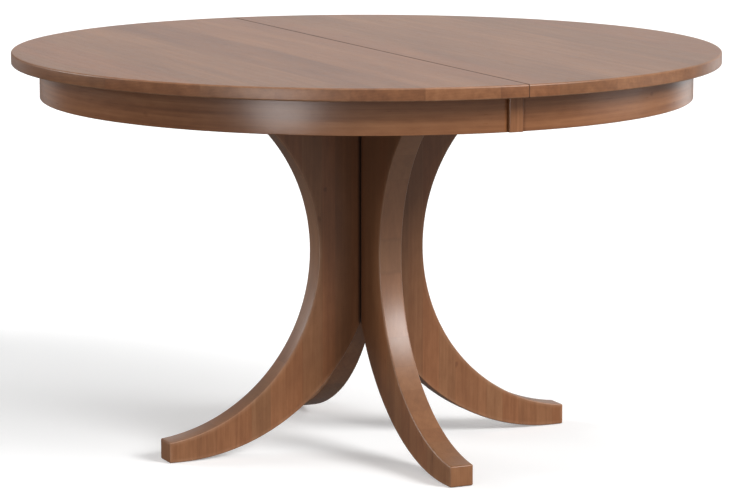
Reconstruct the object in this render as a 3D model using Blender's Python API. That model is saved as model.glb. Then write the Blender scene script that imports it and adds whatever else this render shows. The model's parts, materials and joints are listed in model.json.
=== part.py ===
"""Round pedestal dining table, 54 in across, whose top parts in the middle on geared slides.

Metres, +Z up. The origin is on the floor under the middle of the top. The split in the
top runs along Y, and its two halves draw apart along X. Turned half a turn about Z, the
right half is the left half, so most pieces are one mesh used twice or four times.
"""

import math

import bmesh
import bpy
from mathutils import Matrix, Vector

# Overall
TABLE_HEIGHT = 0.781
TOP_DIAMETER = 1.3716
TOUCH = 0.0003  # left between two pieces that bear on each other
MARKED_CORNER = math.radians(40.0)  # an edge this sharp can be eased
SHARP_EDGE = math.radians(35.0)  # an edge this sharp is shaded as one
ALMOST_ONE = 0.999
MEASURE_SLACK = 1e-7

# Top
TOP_THICKNESS = 0.0238
RIM_ROUNDING = 0.003
SPLIT_GAP = 0.0005
SPLIT_EASING = 0.0006
RIM_STEPS = 48

# Apron, under each half of the top
APRON_OVERHANG = 0.0538
APRON_HEIGHT = 0.0665
APRON_THICKNESS = 0.020
APRON_EASING = 0.0015
APRON_STEPS = 36
BLOCK_WIDTH = 0.028
BLOCK_PROUD = 0.006
BLOCK_BEHIND = 0.004

# Glue blocks in the corner of the apron and the top
GLUE_BLOCK_LENGTH = 0.060
GLUE_BLOCK_DEPTH = 0.024
GLUE_BLOCK_NOSE = 0.006
GLUE_BLOCK_EASING = 0.0008
GLUE_BLOCK_ANGLES = (-50.0, 0.0, 50.0)

# Pedestal
LEG_THICKNESS = 0.0475
LEG_TOP_REACH = 0.2913
LEG_WAIST_REACH = 0.1118
LEG_EASING = 0.0025
FOOT_REACH = 0.426
FOOT_HEIGHT = 0.041
FOOT_FLAT = 0.024
INSTEP_RADIUS = 0.417
LEG_STEPS = 18
PLATE_THICKNESS = 0.020
PLATE_MARGIN = 0.055
PLATE_CORNER = 0.040
PLATE_EASING = 0.0015

# Glides under the feet
GLIDE_RADIUS = 0.009
GLIDE_THICKNESS = 0.003
GLIDE_PROUD = 0.001
GLIDE_NAIL_RADIUS = 0.0015
GLIDE_NAIL_LENGTH = 0.012
GLIDE_NAIL_SIDES = 8

# Slides
SLIDE_TRAVEL = 0.330
SLIDE_SPACING = 0.200
SLIDE_HEIGHT = 0.0415
RAIL_GAP = 0.0015
RAIL_OVER_PLATE = 0.002
RAIL_UNDER_TOP = 0.0025
RAIL_BACKING = 0.016
RAIL_END_GAP = 0.060
RAIL_PAST_RACK = 0.006
RAIL_EASING = 0.001
CENTRE_RAIL_EXTRA = 0.010
TONGUE_HEIGHT = 0.008
TONGUE_DEPTH = 0.006
TONGUE_CLEARANCE = 0.0005

# Gears of the slides
GEAR_MODULE = 0.003
PINION_TEETH = 12
PRESSURE_ANGLE = math.radians(25.0)
DEDENDUM = 1.25
BACKLASH = 0.0003
GEAR_FACE = 0.010
GEAR_BELOW_TOP = 0.0155
GEAR_CLEARANCE = 0.0008
RACK_WEB = 0.00275
RACK_TIP_GAP = 0.002
RACK_SPARE_TEETH = 1
FLANK_POINTS = 4
AXLE_RADIUS = 0.003
AXLE_SEAT = 0.006
RUNNING_FIT = 0.00008
PIVOT_SIDES = 24

# Screws
LAG_INSET = 0.035
LAG_RADIUS = 0.003
LAG_HEAD_RADIUS = 0.0065
LAG_HEAD_HEIGHT = 0.004
LAG_LENGTH = 0.055
RAIL_SCREW_REACH = 0.200
RAIL_SCREW_RADIUS = 0.0022
RAIL_SCREW_HEAD_RADIUS = 0.0045
RAIL_SCREW_HEAD_HEIGHT = 0.003
RAIL_SCREW_BITE = 0.010
RAIL_SCREW_HEAD_EASING = 0.001
SCREW_TIP_RADIUS = 0.0004
RECESS_CLEARANCE = 0.001

# Pins that line up the two halves
PIN_COUNT = 4
PIN_PITCH = 0.300
PIN_RADIUS = 0.004
PIN_SEATED = 0.020
PIN_PROUD = 0.012
PIN_CHAMFER = 0.001
PIN_CLEARANCE = 0.0004

# Locks that hold the two halves together
LOCK_OFFSET = 0.400
LOCK_PLATE = 0.002
LOCK_PLATE_WIDTH = 0.030
LOCK_PIVOT_INSET = 0.030
LOCK_PIVOT_RADIUS = 0.003
LOCK_PIVOT_HEAD = 0.006
LOCK_PIVOT_HEAD_HEIGHT = 0.002
LOCK_PIVOT_HEAD_EASING = 0.0015
LOCK_HUB_RADIUS = 0.009
LOCK_LEVER_THICKNESS = 0.004
LOCK_HOOK_WIDTH = 0.007
LOCK_HOOK_CLEARANCE = 0.0015
LOCK_SWING = math.radians(75.0)
LOCK_HOOK_HALF_TURN = math.radians(9.0)  # of the hook's inner face, to each side of the post
LOCK_ARM_TURN = math.radians(-23.0)  # where the arm meets the hook's outer edge
LOCK_HUB_START = math.radians(28.0)
LOCK_HUB_END = math.radians(300.0)
LOCK_TAIL = 0.030
LOCK_TAIL_TURN = math.radians(165.0)
LOCK_TAIL_ROOT = math.radians(21.0)  # half of what the tail takes of the hub
LOCK_TAIL_END = math.radians(6.0)
LOCK_ARC_STEPS = 6
KEEPER_POST_INSET = 0.022
KEEPER_POST_RADIUS = 0.0035
KEEPER_MARGIN = 0.016

# Levels and reaches that follow from the sizes above
top_radius = TOP_DIAMETER / 2
underside = TABLE_HEIGHT - TOP_THICKNESS
hung_from = underside - TOUCH
apron_bottom = underside - APRON_HEIGHT
apron_outer = top_radius - APRON_OVERHANG
apron_inner = apron_outer - APRON_THICKNESS
apron_end = BLOCK_WIDTH / 2 + TOUCH
rail_bottom = hung_from - SLIDE_HEIGHT
plate_top = rail_bottom - RAIL_OVER_PLATE
plate_bottom = plate_top - PLATE_THICKNESS
leg_top = plate_bottom - TOUCH
pitch_radius = GEAR_MODULE * PINION_TEETH / 2
tooth_pitch = math.pi * GEAR_MODULE
gear_level = underside - GEAR_BELOW_TOP
rack_back = pitch_radius + DEDENDUM * GEAR_MODULE + RACK_WEB
rack_teeth_ahead = math.ceil(SLIDE_TRAVEL / tooth_pitch) + RACK_SPARE_TEETH
rack_end = (rack_teeth_ahead + 0.5) * tooth_pitch
centre_rail_half = pitch_radius - GEAR_MODULE - RACK_TIP_GAP
centre_rail_reach = SLIDE_TRAVEL + CENTRE_RAIL_EXTRA
rail_inner_face = centre_rail_half + RAIL_GAP
rail_outer_face = rack_back + RAIL_BACKING
rail_reach_in = rack_end + RAIL_PAST_RACK
rail_reach_out = math.sqrt(apron_inner**2 - (SLIDE_SPACING + rail_outer_face) ** 2) - RAIL_END_GAP
slot_low = gear_level - GEAR_FACE / 2 - GEAR_CLEARANCE
slot_high = gear_level + GEAR_FACE / 2 + GEAR_CLEARANCE
tongue_level = (rail_bottom + slot_low) / 2
plate_half = SLIDE_SPACING + rail_outer_face + PLATE_MARGIN
lag_reach = SLIDE_SPACING - rail_outer_face - LAG_INSET
glide_reach = FOOT_REACH - FOOT_FLAT / 2 - TOUCH

LEG_DIRECTIONS = {"front": -90.0, "right": 0.0, "back": 90.0, "left": 180.0}
HALF_TURNS = {"right": 0.0, "left": 180.0}
SLIDE_ROWS = {"front": -SLIDE_SPACING, "back": SLIDE_SPACING}


def clear_scene():
    for old in list(bpy.data.objects):
        bpy.data.objects.remove(old, do_unlink=True)


def make_material(name, colour, roughness, metallic=0.0):
    material = bpy.data.materials.new(name)
    material.use_nodes = True
    shader = material.node_tree.nodes["Principled BSDF"]
    shader.inputs["Base Color"].default_value = (*colour, 1.0)
    shader.inputs["Roughness"].default_value = roughness
    shader.inputs["Metallic"].default_value = metallic
    return material


def turned(angle):
    return Matrix.Rotation(math.radians(angle), 4, "Z")


def arc(centre, radius, start, end, steps):
    """Points along an arc in its own plane, with the angles in radians."""
    turns = [start + (end - start) * step / steps for step in range(steps + 1)]
    return [(centre[0] + radius * math.cos(t), centre[1] + radius * math.sin(t)) for t in turns]


def prism(points, move):
    """A bmesh with the polygon of 3-D points as its floor, extruded by the vector move."""
    shape = bmesh.new()
    floor = shape.faces.new([shape.verts.new(point) for point in points])
    roof = bmesh.ops.extrude_face_region(shape, geom=[floor])
    moved = [item for item in roof["geom"] if isinstance(item, bmesh.types.BMVert)]
    bmesh.ops.translate(shape, verts=moved, vec=move)
    bmesh.ops.recalc_face_normals(shape, faces=shape.faces[:])
    return shape


def upright_prism(outline, low, high):
    return prism([(x, y, low) for x, y in outline], (0, 0, high - low))


def add_box(shape, low, high):
    size = [b - a for a, b in zip(low, high)]
    middle = [(a + b) / 2 for a, b in zip(low, high)]
    place = Matrix.Translation(middle) @ Matrix.Diagonal((*size, 1.0))
    bmesh.ops.create_cube(shape, size=1.0, matrix=place)


def add_rod(shape, start, end, radius, sides=12):
    start = Vector(start)
    run = Vector(end) - start
    turn = Vector((0, 0, 1)).rotation_difference(run).to_matrix().to_4x4()
    place = Matrix.Translation(start + run / 2) @ turn
    bmesh.ops.create_cone(
        shape, cap_ends=True, segments=sides, radius1=radius, radius2=radius, depth=run.length, matrix=place
    )


def turned_solid(profile, sides=12):
    """A solid of revolution about Z from (radius, height) points listed from the bottom up."""
    shape = bmesh.new()
    rings = []
    for radius, height in profile:
        around = [2 * math.pi * step / sides for step in range(sides)]
        rings.append([shape.verts.new((radius * math.cos(t), radius * math.sin(t), height)) for t in around])
    for lower, upper in zip(rings, rings[1:]):
        for step in range(sides):
            after = (step + 1) % sides
            shape.faces.new((lower[step], lower[after], upper[after], upper[step]))
    shape.faces.new(list(reversed(rings[0])))
    shape.faces.new(rings[-1])
    return shape


def ease(shape, edges, width, steps=2):
    bmesh.ops.bevel(
        shape, geom=list(edges), offset=width, segments=steps, profile=0.5, affect="EDGES", clamp_overlap=True
    )


def corner_edges(shape, chosen):
    """The edges of a marked corner whose middle point passes the test."""
    found = []
    for edge in shape.edges:
        middle = (edge.verts[0].co + edge.verts[1].co) / 2
        if edge.calc_face_angle(0.0) > MARKED_CORNER and chosen(middle, edge):
            found.append(edge)
    return found


def lies_along(edge, axis):
    run = edge.verts[1].co - edge.verts[0].co
    return abs(run[axis]) > ALMOST_ONE * run.length


def to_mesh(shape, name):
    mesh = bpy.data.meshes.new(name)
    shape.to_mesh(mesh)
    shape.free()
    mesh.shade_smooth()
    mesh.set_sharp_from_angle(angle=SHARP_EDGE)
    return mesh


def carved(mesh, tool, operation="DIFFERENCE"):
    """The mesh after one exact Boolean with the tool, a bmesh of closed shells."""
    body = bpy.data.objects.new("carving_body", mesh)
    cutter = bpy.data.objects.new("carving_tool", to_mesh(tool, "carving_tool"))
    for item in (body, cutter):
        bpy.context.collection.objects.link(item)
    step = body.modifiers.new("carve", "BOOLEAN")
    step.operation = operation
    step.solver = "EXACT"
    step.object = cutter
    bpy.context.view_layer.update()
    graph = bpy.context.evaluated_depsgraph_get()
    result = bpy.data.meshes.new_from_object(body.evaluated_get(graph), depsgraph=graph)
    result.name = mesh.name
    for item in (body, cutter):
        bpy.data.objects.remove(item, do_unlink=True)
    result.shade_smooth()
    result.set_sharp_from_angle(angle=SHARP_EDGE)
    return result


def place(name, mesh, material, body, location=(0, 0, 0), angle=0.0):
    """An object of the mesh, on the empty that stands for its rigid body."""
    piece = bpy.data.objects.new(name, mesh)
    piece.location = location
    piece.rotation_euler = (0, 0, math.radians(angle))
    piece.parent = body
    if not mesh.materials:
        mesh.materials.append(material)
    bpy.context.collection.objects.link(piece)
    return piece


def make_body(name, parent=None, location=(0, 0, 0)):
    body = bpy.data.objects.new(name, None)
    body.location = location
    body.parent = parent
    bpy.context.collection.objects.link(body)
    return body


def half_circle(radius, from_x, steps):
    """The right half of a circle, from low Y to high Y, cut off at from_x."""
    reach = math.acos(from_x / radius)
    return arc((0, 0), radius, -reach, reach, steps)


def pin_places():
    return [(row - (PIN_COUNT - 1) / 2) * PIN_PITCH for row in range(PIN_COUNT)]


def top_half_mesh():
    """Half a disc with a rounded rim, and a row of blind pin holes in its straight edge."""
    shape = upright_prism(half_circle(top_radius, SPLIT_GAP / 2, RIM_STEPS), underside, TABLE_HEIGHT)
    rim = corner_edges(shape, lambda at, edge: not lies_along(edge, 2) and at.x > SPLIT_GAP)
    ease(shape, rim, RIM_ROUNDING, 2)
    split = corner_edges(shape, lambda at, edge: lies_along(edge, 1) and at.x < SPLIT_GAP)
    ease(shape, split, SPLIT_EASING, 1)
    holes = bmesh.new()
    level = underside + TOP_THICKNESS / 2
    for y in pin_places():
        depth = PIN_SEATED + PIN_CLEARANCE
        add_rod(holes, (-PIN_SEATED, y, level), (depth, y, level), PIN_RADIUS + PIN_CLEARANCE)
    return carved(to_mesh(shape, "top_half"), holes)


def apron_mesh():
    """Half a ring under the rim, stopping at the block on each end."""
    outer = half_circle(apron_outer, apron_end, APRON_STEPS)
    inner = half_circle(apron_inner, apron_end, APRON_STEPS)
    shape = upright_prism(outer + inner[::-1], apron_bottom, hung_from)
    bottom = corner_edges(shape, lambda at, edge: at.z < apron_bottom + TOUCH and at.x > apron_end + TOUCH)
    ease(shape, bottom, APRON_EASING, 1)
    return to_mesh(shape, "apron")


def apron_block_mesh():
    """The upright block that covers the joint in the apron, standing at -Y."""
    low = (-BLOCK_WIDTH / 2, -apron_outer - BLOCK_PROUD, apron_bottom)
    high = (BLOCK_WIDTH / 2, -apron_inner + BLOCK_BEHIND, hung_from)
    shape = bmesh.new()
    add_box(shape, low, high)
    front = corner_edges(shape, lambda at, edge: at.y < -apron_outer and at.z < hung_from - TOUCH)
    ease(shape, front, APRON_EASING, 2)
    return to_mesh(shape, "apron_block")


def glue_block_mesh():
    """A block with one long corner cut off, whose back sits in the curve of the apron at +X."""
    nearest = apron_inner * math.cos(math.pi / (2 * APRON_STEPS)) - TOUCH
    back = math.sqrt(nearest**2 - (GLUE_BLOCK_LENGTH / 2) ** 2)
    drop = GLUE_BLOCK_DEPTH
    outline = [
        (back, hung_from),
        (back - drop, hung_from),
        (back - drop, hung_from - GLUE_BLOCK_NOSE),
        (back - GLUE_BLOCK_NOSE, hung_from - drop),
        (back, hung_from - drop),
    ]
    points = [(x, -GLUE_BLOCK_LENGTH / 2, z) for x, z in outline]
    shape = prism(points, (0, GLUE_BLOCK_LENGTH, 0))
    free = corner_edges(shape, lambda at, edge: at.x < back - TOUCH and at.z < hung_from - TOUCH)
    ease(shape, free, GLUE_BLOCK_EASING, 1)
    return to_mesh(shape, "glue_block")


def pin_mesh():
    """A round dowel along X with a chamfered nose, seated at x = 0."""
    shape = bmesh.new()
    add_rod(shape, (-PIN_SEATED, 0, 0), (PIN_PROUD, 0, 0), PIN_RADIUS)
    nose = corner_edges(shape, lambda at, edge: at.x > PIN_PROUD - TOUCH)
    ease(shape, nose, PIN_CHAMFER, 1)
    return to_mesh(shape, "pin")


def leg_back_arc():
    """Centre and radius of the arc that just touches the waist and ends at the top and the foot.

    A circle that touches the upright line r = waist has its centre at r = waist + radius. Its
    two ends give one quadratic for the centre's height.
    """
    ends = ((LEG_TOP_REACH, leg_top), (FOOT_REACH, FOOT_HEIGHT))
    spans = [reach - LEG_WAIST_REACH for reach, _ in ends]
    offsets = [reach**2 - LEG_WAIST_REACH**2 for reach, _ in ends]
    share = spans[1] / spans[0]
    (_, high), (_, low) = ends
    a = 1 - share
    b = -2 * (low - share * high)
    c = low**2 - share * (high**2 + offsets[0]) + offsets[1]
    root = math.sqrt(b * b - 4 * a * c)
    levels = [(-b + sign * root) / (2 * a) for sign in (-1, 1)]
    level = next(found for found in levels if low < found < high)
    reach = ((high - level) ** 2 + offsets[0]) / (2 * spans[0])
    return (reach, level), reach - LEG_WAIST_REACH


def leg_outline():
    """(reach, height) points round one leg, from the middle of the top outwards and down."""
    centre, radius = leg_back_arc()
    start = math.atan2(leg_top - centre[1], LEG_TOP_REACH - centre[0])
    end = math.atan2(FOOT_HEIGHT - centre[1], FOOT_REACH - centre[0]) + 2 * math.pi
    outline = [(0.0, leg_top)] + arc(centre, radius, start, end, LEG_STEPS)
    outline.append((FOOT_REACH, GLIDE_PROUD))
    instep = (FOOT_REACH - FOOT_FLAT, GLIDE_PROUD + INSTEP_RADIUS)
    crotch = math.pi + math.acos(min(1.0, instep[0] / INSTEP_RADIUS))
    return outline + arc(instep, INSTEP_RADIUS, 1.5 * math.pi, crotch, LEG_STEPS)


def leg_mesh():
    """One board of the pedestal, standing along +X, mitred to a point on the table's axis."""
    half = LEG_THICKNESS / 2
    shape = prism([(r, -half, z) for r, z in leg_outline()], (0, LEG_THICKNESS, 0))
    edges = corner_edges(shape, lambda at, edge: at.z < leg_top - TOUCH and at.x > TOUCH)
    ease(shape, edges, LEG_EASING, 2)
    for side in (-1, 1):
        slope = Vector((-1, side, 0)).normalized()
        geometry = shape.verts[:] + shape.edges[:] + shape.faces[:]
        start = slope * (-TOUCH / 2)
        bmesh.ops.bisect_plane(
            shape, geom=geometry, dist=MEASURE_SLACK, plane_co=start, plane_no=slope, clear_outer=True
        )
        rim = [edge for edge in shape.edges if edge.is_boundary]
        bmesh.ops.holes_fill(shape, edges=rim)
    bmesh.ops.recalc_face_normals(shape, faces=shape.faces[:])
    holes = bmesh.new()
    seat = GLIDE_THICKNESS + TOUCH
    add_rod(holes, (lag_reach, 0, leg_top + LAG_RADIUS), (lag_reach, 0, lag_tip() - TOUCH), LAG_RADIUS + TOUCH)
    add_rod(holes, (glide_reach, 0, -seat), (glide_reach, 0, seat), GLIDE_RADIUS + TOUCH)
    leg = carved(to_mesh(shape, "leg"), holes)
    nail = bmesh.new()
    nail_top = GLIDE_THICKNESS + GLIDE_NAIL_LENGTH + TOUCH
    nail_hole = GLIDE_NAIL_RADIUS + TOUCH
    add_rod(nail, (glide_reach, 0, 0), (glide_reach, 0, nail_top), nail_hole, GLIDE_NAIL_SIDES)
    return carved(leg, nail)


def glide_mesh():
    """A flat nylon disc on a nail, its face on the floor."""
    nail_top = GLIDE_THICKNESS + GLIDE_NAIL_LENGTH
    profile = [
        (GLIDE_RADIUS - GLIDE_PROUD / 2, 0.0),
        (GLIDE_RADIUS, GLIDE_PROUD / 2),
        (GLIDE_RADIUS, GLIDE_THICKNESS),
        (GLIDE_NAIL_RADIUS, GLIDE_THICKNESS),
        (GLIDE_NAIL_RADIUS, nail_top - GLIDE_NAIL_RADIUS),
        (SCREW_TIP_RADIUS, nail_top),
    ]
    return to_mesh(turned_solid(profile), "glide")


def lag_tip():
    return plate_top - RECESS_CLEARANCE - LAG_HEAD_HEIGHT - LAG_LENGTH


def lag_mesh():
    """A lag screw with a six-sided head, driven down through the plate into a leg."""
    head_top = plate_top - RECESS_CLEARANCE
    under_head = head_top - LAG_HEAD_HEIGHT
    shank = bmesh.new()
    add_rod(shank, (0, 0, lag_tip()), (0, 0, under_head + LAG_HEAD_HEIGHT / 2), LAG_RADIUS)
    head = bmesh.new()
    add_rod(head, (0, 0, under_head), (0, 0, head_top), LAG_HEAD_RADIUS, 6)
    return carved(to_mesh(head, "lag_screw"), shank, "UNION")


def rail_screw_mesh():
    """A screw driven up through the plate into a centre rail, its head in a recess."""
    head_low = plate_bottom + RECESS_CLEARANCE
    head_high = head_low + RAIL_SCREW_HEAD_HEIGHT
    tip = plate_top + RAIL_SCREW_BITE
    profile = [
        (RAIL_SCREW_HEAD_RADIUS - RAIL_SCREW_HEAD_EASING, head_low),
        (RAIL_SCREW_HEAD_RADIUS, head_low + RAIL_SCREW_HEAD_EASING),
        (RAIL_SCREW_HEAD_RADIUS, head_high),
        (RAIL_SCREW_RADIUS, head_high),
        (RAIL_SCREW_RADIUS, tip - RAIL_SCREW_RADIUS),
        (SCREW_TIP_RADIUS, tip),
    ]
    return to_mesh(turned_solid(profile), "rail_screw")


def plate_mesh():
    """The square plate on top of the legs, with recessed holes for the screws."""
    shape = bmesh.new()
    add_box(shape, (-plate_half, -plate_half, plate_bottom), (plate_half, plate_half, plate_top))
    ease(shape, corner_edges(shape, lambda at, edge: lies_along(edge, 2)), PLATE_CORNER, 1)
    ease(shape, corner_edges(shape, lambda at, edge: not lies_along(edge, 2)), PLATE_EASING, 1)
    recesses = bmesh.new()
    shanks = bmesh.new()
    for angle in LEG_DIRECTIONS.values():
        x, y, _ = turned(angle) @ Vector((lag_reach, 0, 0))
        floor = plate_top - RECESS_CLEARANCE - LAG_HEAD_HEIGHT - TOUCH
        add_rod(recesses, (x, y, floor), (x, y, plate_top + TOUCH), LAG_HEAD_RADIUS + RECESS_CLEARANCE)
        add_rod(shanks, (x, y, plate_bottom - TOUCH), (x, y, plate_top), LAG_RADIUS + TOUCH)
    for y in SLIDE_ROWS.values():
        for x in (-RAIL_SCREW_REACH, RAIL_SCREW_REACH):
            roof = plate_bottom + RECESS_CLEARANCE + RAIL_SCREW_HEAD_HEIGHT + TOUCH
            recess = RAIL_SCREW_HEAD_RADIUS + RECESS_CLEARANCE
            add_rod(recesses, (x, y, plate_bottom - TOUCH), (x, y, roof), recess)
            add_rod(shanks, (x, y, plate_bottom), (x, y, plate_top + TOUCH), RAIL_SCREW_RADIUS + TOUCH)
    return carved(carved(to_mesh(shape, "plate"), recesses), shanks)


def centre_rail_mesh():
    """The fixed rail of a slide: a tongue along each side and a slot right through for the pinion."""
    bottom = plate_top + TOUCH
    top = underside - RAIL_UNDER_TOP
    low = tongue_level - TONGUE_HEIGHT / 2
    high = tongue_level + TONGUE_HEIGHT / 2
    tip = centre_rail_half + TONGUE_DEPTH
    side = [(centre_rail_half, bottom), (centre_rail_half, low), (tip, low)]
    side += [(tip, high), (centre_rail_half, high), (centre_rail_half, top)]
    section = side + [(-y, z) for y, z in reversed(side)]
    shape = prism([(-centre_rail_reach, y, z) for y, z in section], (2 * centre_rail_reach, 0, 0))
    slot = bmesh.new()
    reach = pitch_radius + GEAR_MODULE + 2 * GEAR_CLEARANCE
    add_box(slot, (-reach, -tip, slot_low), (reach, tip, slot_high))
    rail = carved(to_mesh(shape, "centre_rail"), slot)
    holes = bmesh.new()
    add_rod(holes, (0, 0, axle_low() - TOUCH), (0, 0, top + TOUCH), AXLE_RADIUS + TOUCH)
    for x in (-RAIL_SCREW_REACH, RAIL_SCREW_REACH):
        tip = plate_top + RAIL_SCREW_BITE + TOUCH
        add_rod(holes, (x, 0, bottom - TOUCH), (x, 0, tip), RAIL_SCREW_RADIUS + TOUCH)
    return carved(rail, holes)


def moving_rail_mesh():
    """A rail that one half hangs on, lying at +Y of its slide's middle and reaching to +X.

    One groove takes the centre rail's tongue and the other the rack. Past the split it is
    planed lower, so that the other half clears it.
    """
    face = rail_inner_face
    back = rail_outer_face
    groove = centre_rail_half + TONGUE_DEPTH + TONGUE_CLEARANCE
    groove_low = tongue_level - TONGUE_HEIGHT / 2 - TONGUE_CLEARANCE
    groove_high = tongue_level + TONGUE_HEIGHT / 2 + TONGUE_CLEARANCE
    seat = rack_back + TOUCH
    section = [(back, rail_bottom), (back, hung_from), (face, hung_from)]
    section += [(face, slot_high), (seat, slot_high), (seat, slot_low), (face, slot_low)]
    section += [(face, groove_high), (groove, groove_high), (groove, groove_low), (face, groove_low)]
    section.append((face, rail_bottom))
    start = -rail_reach_in
    shape = prism([(start, y, z) for y, z in section], (rail_reach_out - start, 0, 0))
    free = corner_edges(
        shape,
        lambda at, edge: lies_along(edge, 0) and (at.y > back - TOUCH or at.z < rail_bottom + TOUCH),
    )
    ease(shape, free, RAIL_EASING, 1)
    relief = bmesh.new()
    relief_low = underside - RAIL_UNDER_TOP
    add_box(relief, (start - TOUCH, face - TOUCH, relief_low), (RAIL_UNDER_TOP, back + TOUCH, underside))
    return carved(to_mesh(shape, "moving_rail"), relief)


def rack_mesh():
    """A straight rack at +Y of the slide's middle, its teeth facing -Y, with one tooth at x = 0."""
    slope = math.tan(PRESSURE_ANGLE)
    at_pitch = tooth_pitch / 4 - BACKLASH / 4
    at_tip = at_pitch - GEAR_MODULE * slope
    at_root = at_pitch + DEDENDUM * GEAR_MODULE * slope
    tip = pitch_radius - GEAR_MODULE
    root = pitch_radius + DEDENDUM * GEAR_MODULE
    outline = [((RACK_SPARE_TEETH + 0.5) * tooth_pitch, rack_back), (-rack_end, rack_back), (-rack_end, root)]
    for tooth in range(-rack_teeth_ahead, RACK_SPARE_TEETH + 1):
        middle = tooth * tooth_pitch
        outline += [(middle - at_root, root), (middle - at_tip, tip)]
        outline += [(middle + at_tip, tip), (middle + at_root, root)]
    outline.append(((RACK_SPARE_TEETH + 0.5) * tooth_pitch, root))
    shape = upright_prism(outline, gear_level - GEAR_FACE / 2, gear_level + GEAR_FACE / 2)
    return to_mesh(shape, "rack")


def pinion_outline():
    """Involute teeth, with a gap between two of them facing +Y and another facing -Y."""
    base = pitch_radius * math.cos(PRESSURE_ANGLE)
    tip = pitch_radius + GEAR_MODULE
    root = pitch_radius - DEDENDUM * GEAR_MODULE
    rolled = math.tan(PRESSURE_ANGLE) - PRESSURE_ANGLE
    half_tooth = math.pi / (2 * PINION_TEETH) - BACKLASH / (4 * pitch_radius)
    flank = [(root, half_tooth + rolled)]
    for step in range(FLANK_POINTS):
        radius = base + (tip - base) * step / (FLANK_POINTS - 1)
        lean = math.acos(min(1.0, base / radius))
        flank.append((radius, half_tooth + rolled - (math.tan(lean) - lean)))
    outline = []
    for tooth in range(PINION_TEETH):
        middle = math.pi / 2 + (tooth + 0.5) * 2 * math.pi / PINION_TEETH
        tooth_points = [(radius, middle - turn) for radius, turn in flank]
        tooth_points += [(radius, middle + turn) for radius, turn in reversed(flank)]
        outline += [(radius * math.cos(t), radius * math.sin(t)) for radius, t in tooth_points]
    return outline


def pinion_mesh():
    shape = upright_prism(pinion_outline(), -GEAR_FACE / 2, GEAR_FACE / 2)
    bore = bmesh.new()
    add_rod(bore, (0, 0, -GEAR_FACE), (0, 0, GEAR_FACE), AXLE_RADIUS + RUNNING_FIT, PIVOT_SIDES)
    return carved(to_mesh(shape, "pinion"), bore)


def axle_low():
    return slot_low - AXLE_SEAT


def axle_mesh():
    shape = bmesh.new()
    add_rod(shape, (0, 0, axle_low()), (0, 0, underside - RAIL_UNDER_TOP), AXLE_RADIUS, PIVOT_SIDES)
    return to_mesh(shape, "axle")


def lock_plate_mesh():
    """The plate that carries the lever, with the pivot at its origin."""
    half = LOCK_PLATE_WIDTH / 2
    margin = LOCK_PIVOT_INSET - KEEPER_POST_RADIUS
    shape = bmesh.new()
    add_box(shape, (-margin, -half, hung_from - LOCK_PLATE), (margin, half, hung_from))
    ease(shape, corner_edges(shape, lambda at, edge: lies_along(edge, 2)), LOCK_PLATE, 2)
    hole = bmesh.new()
    low = hung_from - LOCK_PLATE
    add_rod(hole, (0, 0, low - TOUCH), (0, 0, hung_from + TOUCH), LOCK_PIVOT_RADIUS + TOUCH)
    return carved(to_mesh(shape, "lock_plate"), hole)


def lock_lever_levels():
    high = hung_from - LOCK_PLATE - TOUCH
    return high - LOCK_LEVER_THICKNESS, high


def lock_pivot_mesh():
    """A rivet through the plate and the lever, its head below the lever."""
    head_high = lock_lever_levels()[0] - TOUCH
    head_low = head_high - LOCK_PIVOT_HEAD_HEIGHT
    profile = [
        (LOCK_PIVOT_HEAD - LOCK_PIVOT_HEAD_EASING, head_low),
        (LOCK_PIVOT_HEAD, head_low + LOCK_PIVOT_HEAD_HEIGHT / 2),
        (LOCK_PIVOT_HEAD, head_high),
        (LOCK_PIVOT_RADIUS, head_high),
        (LOCK_PIVOT_RADIUS, hung_from),
    ]
    return to_mesh(turned_solid(profile, PIVOT_SIDES), "lock_pivot")


def lock_lever_mesh():
    """A hook on an arm, with its pivot at the origin and the keeper's post at +X when locked.

    The hook is an arc about the pivot, so it passes behind the post as the lever swings. The
    mesh is turned back by the whole swing: it is stored open.
    """
    post = LOCK_PIVOT_INSET + KEEPER_POST_INSET
    hook_in = post + KEEPER_POST_RADIUS + LOCK_HOOK_CLEARANCE
    hook_out = hook_in + LOCK_HOOK_WIDTH
    centre = (0, 0)
    hub = LOCK_HUB_RADIUS
    tail_from = LOCK_TAIL_TURN - LOCK_TAIL_END
    tail_to = LOCK_TAIL_TURN + LOCK_TAIL_END
    outline = arc(centre, hook_out, LOCK_ARM_TURN, LOCK_HOOK_HALF_TURN, LOCK_ARC_STEPS)
    outline += arc(centre, hook_in, LOCK_HOOK_HALF_TURN, -LOCK_HOOK_HALF_TURN, LOCK_ARC_STEPS)
    outline += arc(centre, hub, LOCK_HUB_START, LOCK_TAIL_TURN - LOCK_TAIL_ROOT, LOCK_ARC_STEPS)
    outline += arc(centre, LOCK_TAIL, tail_from, tail_to, LOCK_ARC_STEPS)
    outline += arc(centre, hub, LOCK_TAIL_TURN + LOCK_TAIL_ROOT, LOCK_HUB_END, LOCK_ARC_STEPS)
    low, high = lock_lever_levels()
    shape = upright_prism(outline, low, high)
    bore = bmesh.new()
    add_rod(bore, (0, 0, low - TOUCH), (0, 0, high + TOUCH), LOCK_PIVOT_RADIUS + RUNNING_FIT, PIVOT_SIDES)
    lever = carved(to_mesh(shape, "lock_lever"), bore)
    lever.transform(Matrix.Rotation(-LOCK_SWING, 4, "Z"))
    return lever


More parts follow.
